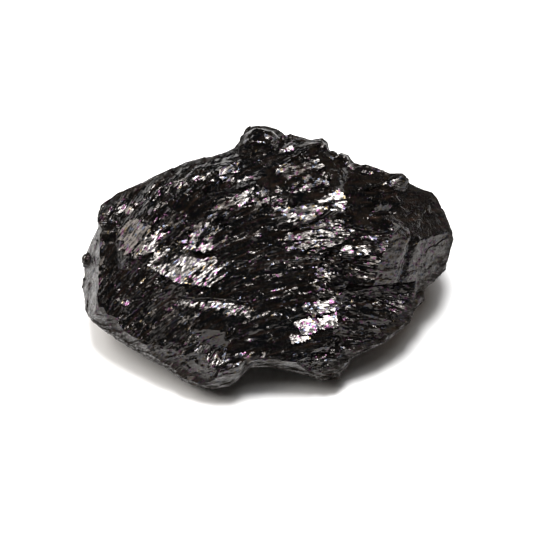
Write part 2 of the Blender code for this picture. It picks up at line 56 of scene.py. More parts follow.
# Corners of the rim (u, v), anticlockwise from its left end. Knobs and notches narrower than the softening
# angle fade out towards the front and the back. The softening looks this many such angles to each side.
RIM = (
    (-22.4, -0.8), (-22.5, -3.6), (-21.8, -7.4), (-20.2, -8.8), (-18.7, -9.8), (-15.1, -12.1),
    (-11.4, -14.3), (-10.1, -15.3), (-8.3, -16.0), (-6.4, -16.2), (-4.6, -16.0), (-3.4, -15.1),
    (-2.6, -13.3), (-1.7, -13.2), (1.5, -13.7), (5.4, -14.7), (6.6, -15.0), (7.9, -14.8),
    (9.1, -13.8), (10.8, -12.2), (14.5, -10.4), (17.3, -8.2), (18.1, -6.5), (19.2, -5.4),
    (19.3, -4.0), (21.8, -1.6), (22.6, 1.9), (22.2, 3.9), (21.4, 5.8), (20.9, 6.9), (20.1, 7.7),
    (18.6, 8.1), (17.1, 8.8), (16.9, 9.6), (16.5, 10.0), (15.7, 10.0), (14.9, 9.9), (13.6, 10.5),
    (12.2, 11.1), (11.0, 10.9), (10.4, 11.5), (10.0, 12.3), (9.1, 12.6), (8.4, 12.0), (7.5, 12.7),
    (7.4, 13.6), (6.8, 14.2), (5.4, 14.1), (4.2, 14.5), (3.1, 14.9), (2.3, 14.6), (1.5, 15.4),
    (-0.7, 16.2), (-2.0, 16.2), (-2.6, 15.4),
    (-3.0, 14.3), (-3.9, 13.1), (-5.4, 12.4), (-9.9, 11.3), (-14.3, 9.2), (-18.2, 7.5),
    (-20.1, 6.1), (-20.5, 4.1), (-20.4, 3.2), (-21.6, 1.0),
)
RIM_FADE = 20.0
RIM_SOFTEN = 12
RIM_WINDOW = 5

# The dome that the rim carries on its front and its back. A power of 2 would be an ellipsoid, and a higher
# one is boxier.
FRONT_DEPTH = 11.0
BACK_DEPTH = 12.0
DOME_POWER = 2.3

# A ray this close to lying in a plane never meets it, and a tool's middle stays this share inside the rim.
GRAZING = 1e-6
INSIDE_RIM = 0.99

SMOOTH, RIBBED, HACKLY, SATIN = 0.0, 1.0, 2.0, 3.0
FRONT, BACK = 1.0, -1.0

# Broken faces: the middle (u, v) and its side of the rim, how the face leans right and up from straight
# out of the rim, how deep it cuts, and its finish.
FACES = {
    "left_end": ((-21.4, -2.0), FRONT, -66, 4, 0.7, SMOOTH),
    "left_bevel": ((-19.5, -2.4), FRONT, -44, 6, 0.7, RIBBED),
    "left_face": ((-12.0, 1.5), FRONT, -10, 2, 1.4, RIBBED),
    "upper_left": ((-12.5, 8.0), FRONT, -20, 48, 0.7, RIBBED),
    "upper_left_rim": ((-14.5, 8.9), FRONT, -22, 54, 0.35, SATIN),
    "left_shoulder": ((-18.9, 6.0), FRONT, -40, 38, 0.25, HACKLY),
    "brow": ((1.0, 10.5), FRONT, 4, 40, 1.2, RIBBED),
    "mid_right": ((6.0, 3.5), FRONT, 3, 14, 0.9, RIBBED),
    "upper_right": ((15.0, 7.0), FRONT, 28, 38, 1.5, RIBBED),
    "centre": ((1.0, -3.0), FRONT, -2, -8, 1.2, SATIN),
    "lower_left": ((-13.0, -8.0), FRONT, -12, -13, 1.7, HACKLY),
    "lower_left_rim": ((-15.0, -11.0), FRONT, -26, -46, 0.0, RIBBED),
    "lower_mid": ((1.0, -9.5), FRONT, 2, -10, 2.3, SATIN),
    "lower_right": ((13.0, -8.0), FRONT, 30, -44, 0.6, HACKLY),
    "right_low_rim": ((15.0, -9.0), FRONT, 42, -52, 0.1, HACKLY),
    "block_front": ((15.0, -0.4), FRONT, 35, -17, 1.3, SMOOTH),
    "block_side": ((19.4, -0.6), FRONT, 46, -12, 1.9, SMOOTH),
    "block_top": ((18.4, 3.6), FRONT, 38, 22, 2.1, SMOOTH),
    "block_rim": ((20.6, 4.0), FRONT, 42, 26, 0.2, SATIN),
    "back_left": ((-12.0, 1.0), BACK, -26, 10, 1.2, HACKLY),
    "back_top": ((0.0, 9.0), BACK, 6, 44, 1.2, RIBBED),
    "back_right": ((13.0, 3.0), BACK, 34, 14, 1.2, SMOOTH),
    "back_low": ((2.0, -8.0), BACK, -4, -40, 0.8, HACKLY),
    "back_end": ((-19.0, 2.0), BACK, -60, 8, 0.6, RIBBED),
    "underside": ((0.0, -8.5), BACK, 0, -35, 2.1, HACKLY),
}

# Shell-shaped scars, each the print of a ball: the middle and side, lean right and up, the ball's radius,
# the scar's depth below the dome, and its finish. Their edges wander, as a break's edges do.
SCARS = {
    "central_hollow": ((0.8, -3.2), FRONT, -4, -8, 18.0, 2.5, SATIN),
    "brow_hollow": ((2.5, 10.0), FRONT, 2, 34, 8.0, 1.9, SATIN),
    "seat_hollow": ((1.0, -9.5), BACK, 4, -45, 16.0, 3.2, HACKLY),
    "back_shell": ((-5.0, 4.0), BACK, -10, 20, 11.0, 2.2, SMOOTH),
    "back_bite": ((9.0, -2.0), BACK, 14, -20, 8.0, 2.0, HACKLY),
}
SCAR_WANDER = 0.12
SCAR_WAVES = 3.0
SCAR_SHIFTS = (11.3, 27.9, 43.1)

# Flat-floored bites: the middle of the floor and its side, lean right and up, roll, the floor's half
# length and half width, its depth below the dome, and its finish. The block that cuts them has this half
# height.
BITES = {
    "under_block": ((14.0, -8.0), FRONT, 14, -12, 0, 5.8, 4.4, 2.8, HACKLY),
    "beside_block": ((11.4, 0.6), FRONT, 10, -14, -30, 1.5, 3.9, 2.2, HACKLY),
    "back_notch": ((-14.0, -4.0), BACK, -30, -10, 20, 3.0, 2.4, 1.6, HACKLY),
}
BITE_HEIGHT = 4.0

# Blocks that stand proud: the middle (u, v, w), lean right and up, roll, the half length, width and height,
# how far out the cut edges stay (1 is uncut), and the finish.
BLOCKS = {
    "knob": ((-0.7, 12.8, 1.4), 4, 38, -10, (2.7, 2.4, 2.6), 0.70, SMOOTH),
    "block_head": ((13.8, 0.9, 5.3), 35, -17, -16, (2.0, 3.5, 2.5), 0.85, SMOOTH),
    "low_shelf": ((16.9, -4.4, 0.85), 12, -14, -10, (1.9, 1.3, 2.0), 0.80, HACKLY),
}

# Rounded lumps that stand proud, with the same values as the blocks but for the cut edges. The three
# seats carry the nugget: each points straight down and is cut off flat at the ground.
LUMPS = {
    "foot": ((-6.2, -11.9, 1.2), -6, -24, -4, (4.6, 3.7, 4.2), RIBBED),
    "crown_lump": ((3.4, 13.3, 0.8), 4, 38, -8, (2.2, 1.6, 1.8), RIBBED),
    "ridge_lump": ((8.0, 11.3, 1.2), 6, 40, -20, (1.5, 1.3, 1.5), HACKLY),
    "shoulder_lump": ((10.7, 10.2, 1.4), 8, 40, -20, (1.2, 1.2, 1.5), HACKLY),
    "end_crumb": ((-22.0, -0.6, 0.3), -30, 0, 0, (0.7, 0.9, 0.8), HACKLY),
    "low_lump": ((6.8, -12.2, 0.0), 4, -34, -12, (3.7, 2.8, 3.6), HACKLY),
    "front_seat": ((-8.1, -11.4, -3.5), 0, 35, 0, (4.4, 3.3, 3.4), HACKLY),
    "right_seat": ((10.7, -7.7, -6.4), 0, 35, 0, (4.6, 3.8, 3.4), HACKLY),
    "back_seat": ((-2.7, -1.0, -10.75), 0, 35, 0, (5.0, 4.2, 3.4), HACKLY),
    "corner_lump": ((16.3, 8.9, 2.6), 10, 40, 0, (1.1, 1.0, 1.5), HACKLY),
}

# Facets, the small planes that the front is broken into: the middle (u, v), half length and half width,
# roll, how it leans right and up, how far its middle stands above what it breaks, and its finish.
FACETS = {
    "left_pane": ((-15.6, 2.2), (2.0, 2.3), 10, -15, 12, -0.4, SMOOTH),
    "left_shine": ((-13.4, 1.8), (2.7, 1.0), 56, 1, 14, -0.4, SMOOTH),
    "left_tile": ((-18.0, 5.4), (0.8, 0.7), 15, 2, 14, -0.5, SMOOTH),
    "left_tile_end": ((-16.4, 5.8), (0.9, 0.6), 15, -12, 16, -0.4, SMOOTH),
    "left_groove": ((-12.7, 1.1), (3.5, 0.5), 44, 20, -10, -0.3, SMOOTH),
    "left_ridge": ((-12.6, -0.4), (3.2, 0.6), 43, 8, 2, 0.2, SMOOTH),
    "left_ribs": ((-10.1, -2.3), (5.0, 3.6), 38, 1, 14, 0.15, SATIN),
    "left_lip": ((-8.0, 0.9), (2.4, 0.5), 4, 0, 14, 0.4, SMOOTH),
    "left_streaks": ((-8.0, 2.4), (3.3, 0.9), 28, 1, 14, 0.2, RIBBED),
    "left_dark": ((-9.6, 5.8), (3.6, 1.8), 12, 8, 34, -0.1, HACKLY),
    "left_low": ((-15.9, -3.6), (3.0, 2.0), 0, -10, -6, 0.0, HACKLY),
    "left_low_tile": ((-17.1, -5.7), (1.0, 0.5), 10, -2, 14, 0.1, SMOOTH),
    "upper_spark": ((-4.8, 10.7), (1.6, 1.2), 0, 1, 13, 0.3, SATIN),
    "upper_ticks": ((-12.5, 8.2), (2.8, 0.8), 24, -8, 20, 0.1, HACKLY),
    "upper_tile": ((-8.3, 9.2), (1.2, 0.4), 25, 0, 15, 0.2, SMOOTH),
    "knob_tile": ((0.9, 14.0), (1.0, 0.6), 0, 0, 16, 0.1, HACKLY),
    "crown_tile": ((2.6, 13.2), (0.9, 0.5), 0, 0, 15, 0.1, SMOOTH),
    "brow_sparks": ((5.4, 11.4), (2.2, 1.0), 10, 2, 24, 0.0, HACKLY),
    "brow_tile": ((7.3, 9.5), (0.9, 0.6), 0, 0, 14, 0.1, HACKLY),
    "brow_lip": ((-4.1, 9.1), (4.2, 0.25), 4, 0, 14, 0.2, SATIN),
    "wedge": ((-2.4, 6.6), (1.2, 0.7), 30, 0, 14, 0.1, SMOOTH),
    "wedge_end": ((-0.9, 6.3), (1.0, 0.7), 0, -8, 8, 0.0, SMOOTH),
    "upper_ribs": ((0.8, 7.2), (1.5, 1.0), 0, 0, 17, 0.0, RIBBED),
    "top_ribs": ((5.4, 8.6), (3.0, 0.7), 8, 0, 16, 0.4, RIBBED),
    "top_gap": ((4.9, 7.1), (2.8, 0.8), 8, 4, 38, -0.1, SMOOTH),
    "pale_pane": ((4.4, 5.0), (3.4, 1.3), 5, -4, 22, 0.0, SMOOTH),
    "white_patch": ((8.5, 6.4), (1.5, 1.4), 0, 0, 14, 0.3, SMOOTH),
    "mid_ribs": ((6.2, 2.5), (4.0, 2.0), 8, 0, 14, 0.2, RIBBED),
    "rib_ends": ((5.6, -0.1), (2.2, 0.8), 0, 0, 13, 0.1, HACKLY),
    "valley_rim": ((6.8, -2.4), (1.2, 3.0), 0, -4, 5, 0.0, HACKLY),
    "valley_tile": ((11.6, 0.7), (1.0, 0.6), -60, 0, 14, 0.1, SMOOTH),
    "valley_dot": ((12.4, 1.8), (0.5, 0.5), 0, 0, 14, 0.1, SMOOTH),
    "valley_chip": ((11.1, -2.1), (0.8, 0.5), -30, 0, 14, 0.1, SMOOTH),
    "valley_edge": ((9.7, 1.0), (0.5, 0.6), 0, 0, 14, 0.1, SMOOTH),
    "valley_side": ((11.6, 6.0), (1.4, 2.6), 0, 26, 34, -0.5, RIBBED),
    "block_edge": ((13.9, 2.0), (1.2, 0.3), 55, 0, 14, 0.2, SMOOTH),
    "right_streak": ((12.7, 5.7), (1.2, 0.3), 40, 0, 13, 0.1, HACKLY),
    "arc_streak": ((16.4, 5.0), (2.4, 0.3), -8, 4, 20, 0.1, RIBBED),
    "corner_tile": ((14.8, 8.9), (1.1, 0.6), -5, 0, 14, 0.0, SMOOTH),
    "corner_hollow": ((12.2, 8.9), (2.0, 0.9), 5, 10, 52, -0.3, SMOOTH),
    "flake_top": ((7.0, -6.1), (1.8, 1.3), 38, 1, 13, 0.2, SATIN),
    "flake_mid": ((5.6, -8.0), (2.4, 1.3), 38, -1, 13, 0.0, SMOOTH),
    "flake_side": ((7.6, -7.4), (1.1, 1.5), 0, 2, 12, 0.0, SMOOTH),
    "flake_tip": ((4.3, -9.6), (1.2, 0.5), 60, 0, 15, 0.1, SMOOTH),
    "low_flake": ((8.0, -11.3), (1.4, 1.1), 0, -1, 15, -0.9, HACKLY),
    "low_ribs": ((13.0, -4.6), (2.8, 1.1), -8, 18, -32, 0.0, RIBBED),
    "low_round": ((13.9, -7.5), (2.0, 0.8), 10, 10, -34, 0.1, SMOOTH),
    "low_sparks": ((16.9, -6.3), (1.3, 0.7), 30, 0, 12, 0.1, HACKLY),
    "low_corner": ((17.8, -7.2), (1.4, 0.9), 20, 24, -38, 0.0, SMOOTH),
    "lens": ((-3.4, -7.0), (1.4, 0.6), -5, 0, 13, 0.2, RIBBED),
    "dark_plate": ((-11.4, -8.5), (3.4, 2.2), 0, -8, -10, 0.0, RIBBED),
    "triangle": ((-6.4, -9.9), (2.0, 1.3), -25, -2, -38, 0.0, SMOOTH),
    "plate_sparks": ((-8.9, -9.1), (0.9, 1.4), 0, 0, 9, 0.1, HACKLY),
    "foot_sparks": ((-1.5, -12.2), (1.4, 0.8), 0, 0, 6, 0.1, HACKLY),
}

# A facet's outline is between an ellipse (power 2) and a rectangle, and breaks off along the grains of the
# stone: this share of the way it follows their edges. It ends where it would stand further than the bulge
# out of what it breaks; towards the rim the bulge shrinks to nothing. A ray that runs closer than the graze
# to a facet's own plane misses it. A facet's middle is found in a few steps.
FACET_POWER = 3.0
GRAIN = (1.5, 0.7, 1.1)
GRAIN_SHARE = 0.85
FACET_BULGE = 1.6
FACET_GRAZE = 0.1
FACET_STEPS = 6

# Valleys and creases on the front: the route (u, v), the half width and the depth.
VALLEYS = {
    "right_valley": (
        ((10.4, 10.5), (10.0, 7.0), (10.7, 3.5), (10.1, 0.0), (10.6, -3.5), (9.4, -11.0)), 1.0, 0.6),
    "left_valley": (((-10.2, 3.6), (-13.0, 1.0), (-15.4, -1.5)), 0.6, 1.0),
    "low_ledge": (((-11.0, -5.6), (-7.0, -5.8), (-2.4, -6.2)), 0.4, 0.6),
    "edge_valley": (((-18.9, 4.0), (-18.7, -2.0), (-18.4, -8.0)), 0.6, 0.5),
    "foot_ledge": (((-11.0, -13.2), (-7.0, -12.6), (-3.0, -12.9)), 0.5, 0.6),
    "block_seam": (((17.4, 1.6), (16.9, -0.6), (16.1, -3.4)), 0.3, 0.3),
    "block_arc": (((10.6, 3.6), (12.8, 5.2), (15.4, 5.6)), 0.5, 0.6),
}

# Bedding: the stone breaks along curved layers that rise to the right on the left half of the nugget and
# level out towards its right end. The rise is a slope, the bend and curl change it per millimetre, and
# the dip is how far the layers drop for each millimetre out of the rim.
BEDDING_RISE = 0.304
BEDDING_BEND = -0.0437
BEDDING_CURL = 0.00076
BEDDING_DIP = 0.35

# Ledges along the layers, coarse and fine: length along the layers, spacing across them, and height.
LEDGES = (
    (14.0, 3.2, 0.60),
    (9.0, 1.7, 0.38),
    (7.0, 0.9, 0.16),
    (5.0, 0.5, 0.09),
)

# Treads between a ledge pattern's middle and its height, and the share of a tread that its riser takes.
LEDGE_TREADS = 3.0
LEDGE_RISER = 0.4

# Chips, small facets tilted at random, coarse and fine: length along the layers, width across, and height.
# Each chip's tilt is drawn from its place times the seed.
CHIPS = (
    (5.0, 3.4, 0.40),
    (2.6, 1.6, 0.28),
    (1.8, 0.9, 0.12),
    (0.9, 0.5, 0.05),
)
CHIP_SEED = 9.7

# How strongly ledges and chips show on the smooth, ribbed, hackly and satin finish, and how far the surface
# sinks under them so that their tops stay at the planned face.
FINISHES = (SMOOTH, RIBBED, HACKLY, SATIN)
LEDGE_SHARE = (0.16, 1.0, 0.55, 0.30)
CHIP_SHARE = (0.32, 0.50, 1.0, 0.45)
DETAIL_SINK = (0.05, 0.40, 0.40, 0.10)


def unit(right, up, side=FRONT):
    """Unit vector that leans right and up from straight out of one side of the rim."""
    right, up = math.radians(right), math.radians(up)
    across = math.cos(up)
    return np.array((math.sin(right) * across, math.sin(up), side * math.cos(right) * across))


def rim_axes():
    """The rim's u, v and w as rows in the nugget's own frame."""
    lean = math.radians(RIM_LEAN)
    return np.array((
        (1.0, 0.0, 0.0),
        (0.0, math.sin(lean), math.cos(lean)),
        (0.0, -math.cos(lean), math.sin(lean)),
    ))


def rim_reach(bearing):
    """Distance from the heart to the rim's outline, for bearings in the rim's plane."""
    points = np.array(RIM)
    corner = np.arctan2(points[:, 1], points[:, 0])
    order = np.argsort(corner)
    points, corner = points[order], corner[order]
    after = np.searchsorted(corner, bearing) % len(points)
    start, edge = points[after - 1], points[after] - points[after - 1]
    across = np.cos(bearing) * edge[:, 1] - np.sin(bearing) * edge[:, 0]
    return (start[:, 0] * edge[:, 1] - start[:, 1] * edge[:, 0]) / across


def soft_rim_reach(bearing):
    """The same distance with the knobs and notches averaged away."""
    degrees = np.radians(np.arange(-180.0, 180.0))
    reach = rim_reach(degrees)
    window = RIM_WINDOW * RIM_SOFTEN
    weight = np.exp(-0.5 * (np.arange(-window, window + 1) / RIM_SOFTEN) ** 2)
    padded = np.concatenate((reach[-window:], reach, reach[:window]))
    smooth = np.convolve(padded, weight / weight.sum(), mode="valid")
    return np.interp(bearing, degrees, smooth, period=2 * math.pi)


def dome_reach(rays):
    """Distance from the heart to the dome along unit rays."""
    flat = np.hypot(rays[:, 0], rays[:, 1])
    bearing = np.arctan2(rays[:, 1], rays[:, 0])
    off_rim = np.arctan2(np.abs(rays[:, 2]), flat)
    soft = soft_rim_reach(bearing)
    rim = soft + (rim_reach(bearing) - soft) * np.exp(-(off_rim / math.radians(RIM_FADE)) ** 2)
    depth = np.where(rays[:, 2] > 0, FRONT_DEPTH, BACK_DEPTH)
    return ((flat / rim) ** DOME_POWER + (np.abs(rays[:, 2]) / depth) ** DOME_POWER) ** (-1 / DOME_POWER)


def on_dome(middle, side):
    """Point of the dome straight above a place (u, v) of the rim's plane."""
    u, v = middle
    reach = soft_rim_reach(np.array((math.atan2(v, u),)))[0]
    share = min(INSIDE_RIM, math.hypot(u, v) / reach)
    depth = FRONT_DEPTH if side > 0 else BACK_DEPTH
    return np.array((u, v, side * depth * (1 - share ** DOME_POWER) ** (1 / DOME_POWER)))


def tool_axes(out, roll):
    """Axes of a tool that points along out: its length, its width and out, turned by roll."""
    length = np.cross((0.0, 1.0, 0.0), out)
    length /= np.linalg.norm(length)
    width = np.cross(out, length)
    turn = math.radians(roll)
    return np.array((
        length * math.cos(turn) + width * math.sin(turn),
        width * math.cos(turn) - length * math.sin(turn),
        out,
    ))


def block_span(rays, middle, axes, half, corner):
    """Where unit rays enter and leave a block whose edges and corners are cut off."""
    slabs = []
    for mix in itertools.product((-1, 0, 1), repeat=3):
        if any(mix):
            direction = (np.array(mix) / half) @ axes
            slabs.append((direction, (sum(map(abs, mix)) - 1) * (2 * corner - 1) + 1))
    enter = np.full(len(rays), -np.inf)
    leave = np.full(len(rays), np.inf)
    for direction, thickness in slabs:
        speed = rays @ direction
        speed = np.where(np.abs(speed) < GRAZING, GRAZING, speed)
        first = (middle @ direction - thickness) / speed
        last = (middle @ direction + thickness) / speed
        enter = np.maximum(enter, np.minimum(first, last))
        leave = np.minimum(leave, np.maximum(first, last))
    return enter, leave


def cut_faces(rays, reach, finish):
    """Cut every ray short at the broken faces' planes."""
    for middle, side, right, up, depth, kind in FACES.values():
        out = unit(right, up, side)
        offset = out @ on_dome(middle, side) - depth
        facing = rays @ out
        hit = np.where(facing > GRAZING, offset / np.maximum(facing, GRAZING), np.inf)
        cut = hit < reach
        reach[cut] = hit[cut]
        finish[cut] = kind


def add_blocks(rays, reach, finish):
    """Let rays run on through the blocks that stand proud."""
    for middle, right, up, roll, half, corner, kind in BLOCKS.values():
        enter, leave = block_span(rays, np.array(middle), tool_axes(unit(right, up), roll), half, corner)
        proud = (leave > enter) & (leave > reach)
        reach[proud] = leave[proud]
        finish[proud] = kind


def add_lumps(rays, reach, finish):
    """Let rays run on through the rounded lumps."""
    for middle, right, up, roll, half, kind in LUMPS.values():
        scale = tool_axes(unit(right, up), roll) / np.array(half)[:, None]
        rays_in, middle_in = rays @ scale.T, scale @ middle
        along = rays_in @ middle_in
        square = (rays_in ** 2).sum(axis=1)
        inside = along ** 2 - square * (middle_in @ middle_in - 1.0)
        leave = (along + np.sqrt(np.maximum(inside, 0.0))) / square
        proud = (inside > 0) & (leave > reach)
        reach[proud] = leave[proud]
        finish[proud] = kind


def noise_at(places):
    return np.array([noise.noise(place) for place in places])


def cut_scars(rays, reach, finish):
    """Cut every ray short where it enters a scar's ball."""
    sway = [noise_at(rays * SCAR_WAVES + shift) for shift in SCAR_SHIFTS]
    bent = rays + SCAR_WANDER * np.stack(sway, axis=1)
    bent /= np.linalg.norm(bent, axis=1)[:, None]
    for middle, side, right, up, radius, depth, kind in SCARS.values():
        out = unit(right, up, side)
        ball = on_dome(middle, side) + out * (radius - depth)
        along = bent @ ball
        inside = along ** 2 - (ball @ ball - radius ** 2)
        enter = along - np.sqrt(np.maximum(inside, 0.0))
        cut = (inside > 0) & (enter > 0) & (enter < reach)
        reach[cut] = enter[cut]
        finish[cut] = kind


def cut_bites(rays, reach, finish):
    """Cut every ray short at the bites' floors and walls."""
    for middle, side, right, up, roll, length, width, depth, kind in BITES.values():
        axes = tool_axes(unit(right, up, side), roll)
        block = on_dome(middle, side) + axes[2] * (BITE_HEIGHT - depth)
        enter, leave = block_span(rays, block, axes, (length, width, BITE_HEIGHT), 1.0)
        cut = (leave > enter) & (enter > 0) & (enter < reach)
        reach[cut] = enter[cut]
        finish[cut] = kind


def cut_valleys(rays, reach):
    """Sink the surface along the valleys' routes."""
    points = rays * reach[:, None]
    for route, half_width, depth in VALLEYS.values():
        gap = np.full(len(rays), np.inf)
        for start, end in zip(route[:-1], route[1:]):
            start, step = np.array(start), np.array(end) - np.array(start)
            share = np.clip(((points[:, :2] - start) @ step) / (step @ step), 0.0, 1.0)
            gap = np.minimum(gap, np.hypot(*(points[:, :2] - start - share[:, None] * step).T))
        reach -= np.where(points[:, 2] > 0, depth * np.exp(-(gap / half_width) ** 2), 0.0)


def broad_reach(rays):
    """Distance from the heart to the nugget's broad shape, and the finish there."""
    reach = dome_reach(rays)
    finish = np.full(len(rays), SATIN)
    cut_faces(rays, reach, finish)
    add_blocks(rays, reach, finish)
    add_lumps(rays, reach, finish)
    cut_scars(rays, reach, finish)
    cut_bites(rays, reach, finish)
    cut_valleys(rays, reach)
    return reach, finish


def facet_middles():
    """Where the facets' middles lie on the front, found by walking each along its own ray to the surface."""
    places = np.array([on_dome(row[0], FRONT) for row in FACETS.values()])
    for _ in range(FACET_STEPS):
        away = np.linalg.norm(places, axis=1)
        places[:, 2] *= broad_reach(places / away[:, None])[0] / away
    return places


def layer_frame(points):
    """Places along the layers, across them and out of the rim."""
    u, v, w = points.T
    rise = BEDDING_RISE * u + BEDDING_BEND * u ** 2 / 2 + BEDDING_CURL * u ** 3 / 3
    return np.stack((u, v - rise + BEDDING_DIP * w, w), axis=1)


def grain_shift(points):
    """How far right and up each point lies from the middle of its own grain."""
    layers = layer_frame(points)
    middles = np.array([noise.voronoi(place)[1][0] for place in layers / GRAIN]) * GRAIN
    return (middles - layers)[:, :2]


def set_facets(rays, reach, finish):
    """Lay the facets over the front. Where two overlap, each point goes to the one it is deeper in."""
    front = rays[:, 2] > 0
    shift = grain_shift(rays * reach[:, None]) * GRAIN_SHARE
    nearest = np.ones(len(rays))
    highest = reach + FACET_BULGE * rays[:, 2]
    for row, centre in zip(FACETS.values(), facet_middles()):
        middle, half, roll, right, up, rise, kind = row
        out = unit(right, up)
        hit = (centre @ out + rise) / np.maximum(rays @ out, FACET_GRAZE)
        places = rays[:, :2] * hit[:, None] + shift - middle
        turn = math.radians(roll)
        along = np.abs(places @ (math.cos(turn), math.sin(turn))) / half[0]
        across = np.abs(places @ (-math.sin(turn), math.cos(turn))) / half[1]
        gap = (along ** FACET_POWER + across ** FACET_POWER) ** (1 / FACET_POWER)
        own = front & (gap < nearest) & (hit < highest)
        nearest[own] = gap[own]
        reach[own] = hit[own]
        finish[own] = kind


def ledge_height(layers):
    """Steps that follow the layers: each has a flat tread, a sharp lip and a ragged end."""
    height = np.zeros(len(layers))
    for length, spacing, size in LEDGES:
        wave = noise_at(layers / (length, spacing, length) + size) * LEDGE_TREADS
        tread = np.floor(wave)
        riser = np.clip((wave - tread - 1.0) / LEDGE_RISER + 1.0, 0.0, 1.0)
        height += size * (tread + riser) / LEDGE_TREADS
    return height


def chip_height(layers):
    """Small facets, each tilted its own way."""
    height = np.zeros(len(layers))
    for length, width, size in CHIPS:
        places = layers / (length, width, length)
        middles = np.array([noise.voronoi(place)[1][0] for place in places])
        tilts = np.array([noise.cell_vector(seed) for seed in middles * CHIP_SEED])
        height += size * (((places - middles) * tilts).sum(axis=1) + tilts[:, 0] / 2)
    return height


def planned_reach(rays):
    """Distance from the heart to the surface before its ledges and chips, and the finish there."""
    reach, finish = broad_reach(rays)
    set_facets(rays, reach, finish)
    return reach, finish


def nugget_reach(rays):
    """Distance from the heart to the nugget's surface, with its ledges and chips."""
    reach, finish = planned_reach(rays)
    layers = layer_frame(rays * reach[:, None])
    reach += ledge_height(layers) * np.interp(finish, FINISHES, LEDGE_SHARE)
    reach += chip_height(layers) * np.interp(finish, FINISHES, CHIP_SHARE)
    reach -= np.interp(finish, FINISHES, DETAIL_SINK)
    return reach


# The surface starts as an even ball of points, stretched roughly to the nugget's shape so that they end up
# evenly spaced, and is thinned to this many triangles. A sharper crease stays a hard edge.
SPREAD = (22.5, 16.1, 12.0)
BALL_SUBDIVISIONS = 8
TRIANGLES = 190000
CREASE = math.radians(32.0)

# A millimetre in metres.
MM = 0.001

# How strongly hairlines and grit show on the smooth, ribbed, hackly and satin finish.
HAIR_SHARE = (0.3, 0.9, 0.55, 0.4)
GRIT_SHARE = (0.45, 0.9, 1.1, 0.6)

# The nugget's edge is rubbed matt from handling, and the same mask paints a dark brown shade into what the
# edge mirrors, most of all along its lower half. The rub sets in over these shares of the way out to the rim,
# this much further out on the upper half, and ends this far behind the rim (w). The left end broke later, so
# the rub fades there (u) to a faint share, but for the low corner (v).
RUB_SHARE = (0.90, 0.96)
RUB_ABOVE = 0.04
RUB_BEHIND = (-3.5, -1.5)
RUB_LEFT = (-20.5, -18.5)
RUB_LOW = (-8.5, -7.0)
RUB_FAINT = 0.35

# The block at the right end is dimpled, from here to the right (u) and below here (v), and the rest hardly.
DIMPLE_RIGHT = (13.4, 14.4)
DIMPLE_LOW = (5.0, 6.5)
DIMPLE_REST = 0.1
DIMPLE_BLOCK = 0.9


def fine_surface():
    """The nugget's surface as an even mesh, with every ledge and chip."""
    shell = bmesh.new()
    bmesh.ops.create_icosphere(shell, subdivisions=BALL_SUBDIVISIONS, radius=1.0)
    rays = np.array([vert.co for vert in shell.verts]) * SPREAD
    rays /= np.linalg.norm(rays, axis=1)[:, None]
    places = (rays * nugget_reach(rays)[:, None]) @ rim_axes() + HEART
    for vert, place in zip(shell.verts, places):
        vert.co = place * MM
    mesh = bpy.data.meshes.new("shungite_nugget")
    shell.to_mesh(mesh)
    shell.free()
    return mesh


def thinned(mesh):
    """The same surface with fewer triangles, kept where it bends most."""
    holder = bpy.data.objects.new("holder", mesh)
    bpy.context.scene.collection.objects.link(holder)
    thin = holder.modifiers.new("thin", "DECIMATE")
    thin.ratio = TRIANGLES / len(mesh.polygons)
    view = bpy.context.evaluated_depsgraph_get()
    result = bpy.data.meshes.new_from_object(holder.evaluated_get(view))
    bpy.data.objects.remove(holder)
    return result


def cut_seats(mesh):
    """Cut the seats off flat at the ground."""
    shell = bmesh.new()
    shell.from_mesh(mesh)
    whole = list(shell.verts) + list(shell.edges) + list(shell.faces)
    bmesh.ops.bisect_plane(shell, geom=whole, plane_co=(0, 0, 0), plane_no=(0, 0, 1), clear_inner=True)
    rims = [edge for edge in shell.edges if edge.is_boundary]
    bmesh.ops.edgeloop_fill(shell, edges=rims)
    shell.to_mesh(mesh)
    shell.free()


def keep(mesh, name, values):
    """Keep a value for each point of the mesh, for the material to read."""
    mesh.attributes.new(name, "FLOAT", "POINT").data.foreach_set("value", values)


def store_patterns(mesh):
    """Keep on the mesh each point's place in the layers, finish, rub and painted edge shade, and dimples."""
    places = np.array([vert.co for vert in mesh.vertices]) / MM - HEART
    reach = np.linalg.norm(places, axis=1)
    rays = (places @ rim_axes().T) / reach[:, None]
    finish = planned_reach(rays)[1]
    layers = layer_frame(rays * reach[:, None])
    mesh.attributes.new("layers", "FLOAT_VECTOR", "POINT").data.foreach_set("vector", layers.ravel())
    u, v, w = (rays * reach[:, None]).T
    # The rub's mask also lays painted shade on what the edges mirror: it reaches further in on the lower
    # half.
    share = np.hypot(u, v) / rim_reach(np.arctan2(v, u)) - np.where(v > 0, RUB_ABOVE, 0.0)
    rub_and_shade = np.interp(share, RUB_SHARE, (0.0, 1.0)) * np.interp(w, RUB_BEHIND, (0.0, 1.0))
    fresh = np.interp(u, RUB_LEFT, (RUB_FAINT, 1.0))
    keep(mesh, "rub_and_shade", rub_and_shade * np.maximum(fresh, np.interp(v, RUB_LOW, (1.0, 0.0))))
    block = np.interp(u, DIMPLE_RIGHT, (0.0, 1.0)) * np.interp(v, DIMPLE_LOW, (1.0, 0.0))
    keep(mesh, "dimple", DIMPLE_REST + (DIMPLE_BLOCK - DIMPLE_REST) * block)
    keep(mesh, "hairs", np.interp(finish, FINISHES, HAIR_SHARE))
    keep(mesh, "grit", np.interp(finish, FINISHES, GRIT_SHARE))


def linear(code):
    """An sRGB hex colour as linear red, green, blue and alpha."""
    parts = [int(code[i:i + 2], 16) / 255 for i in (1, 3, 5)]
    return (*[p / 12.92 if p <= 0.04045 else ((p + 0.055) / 1.055) ** 2.4 for p in parts], 1.0)


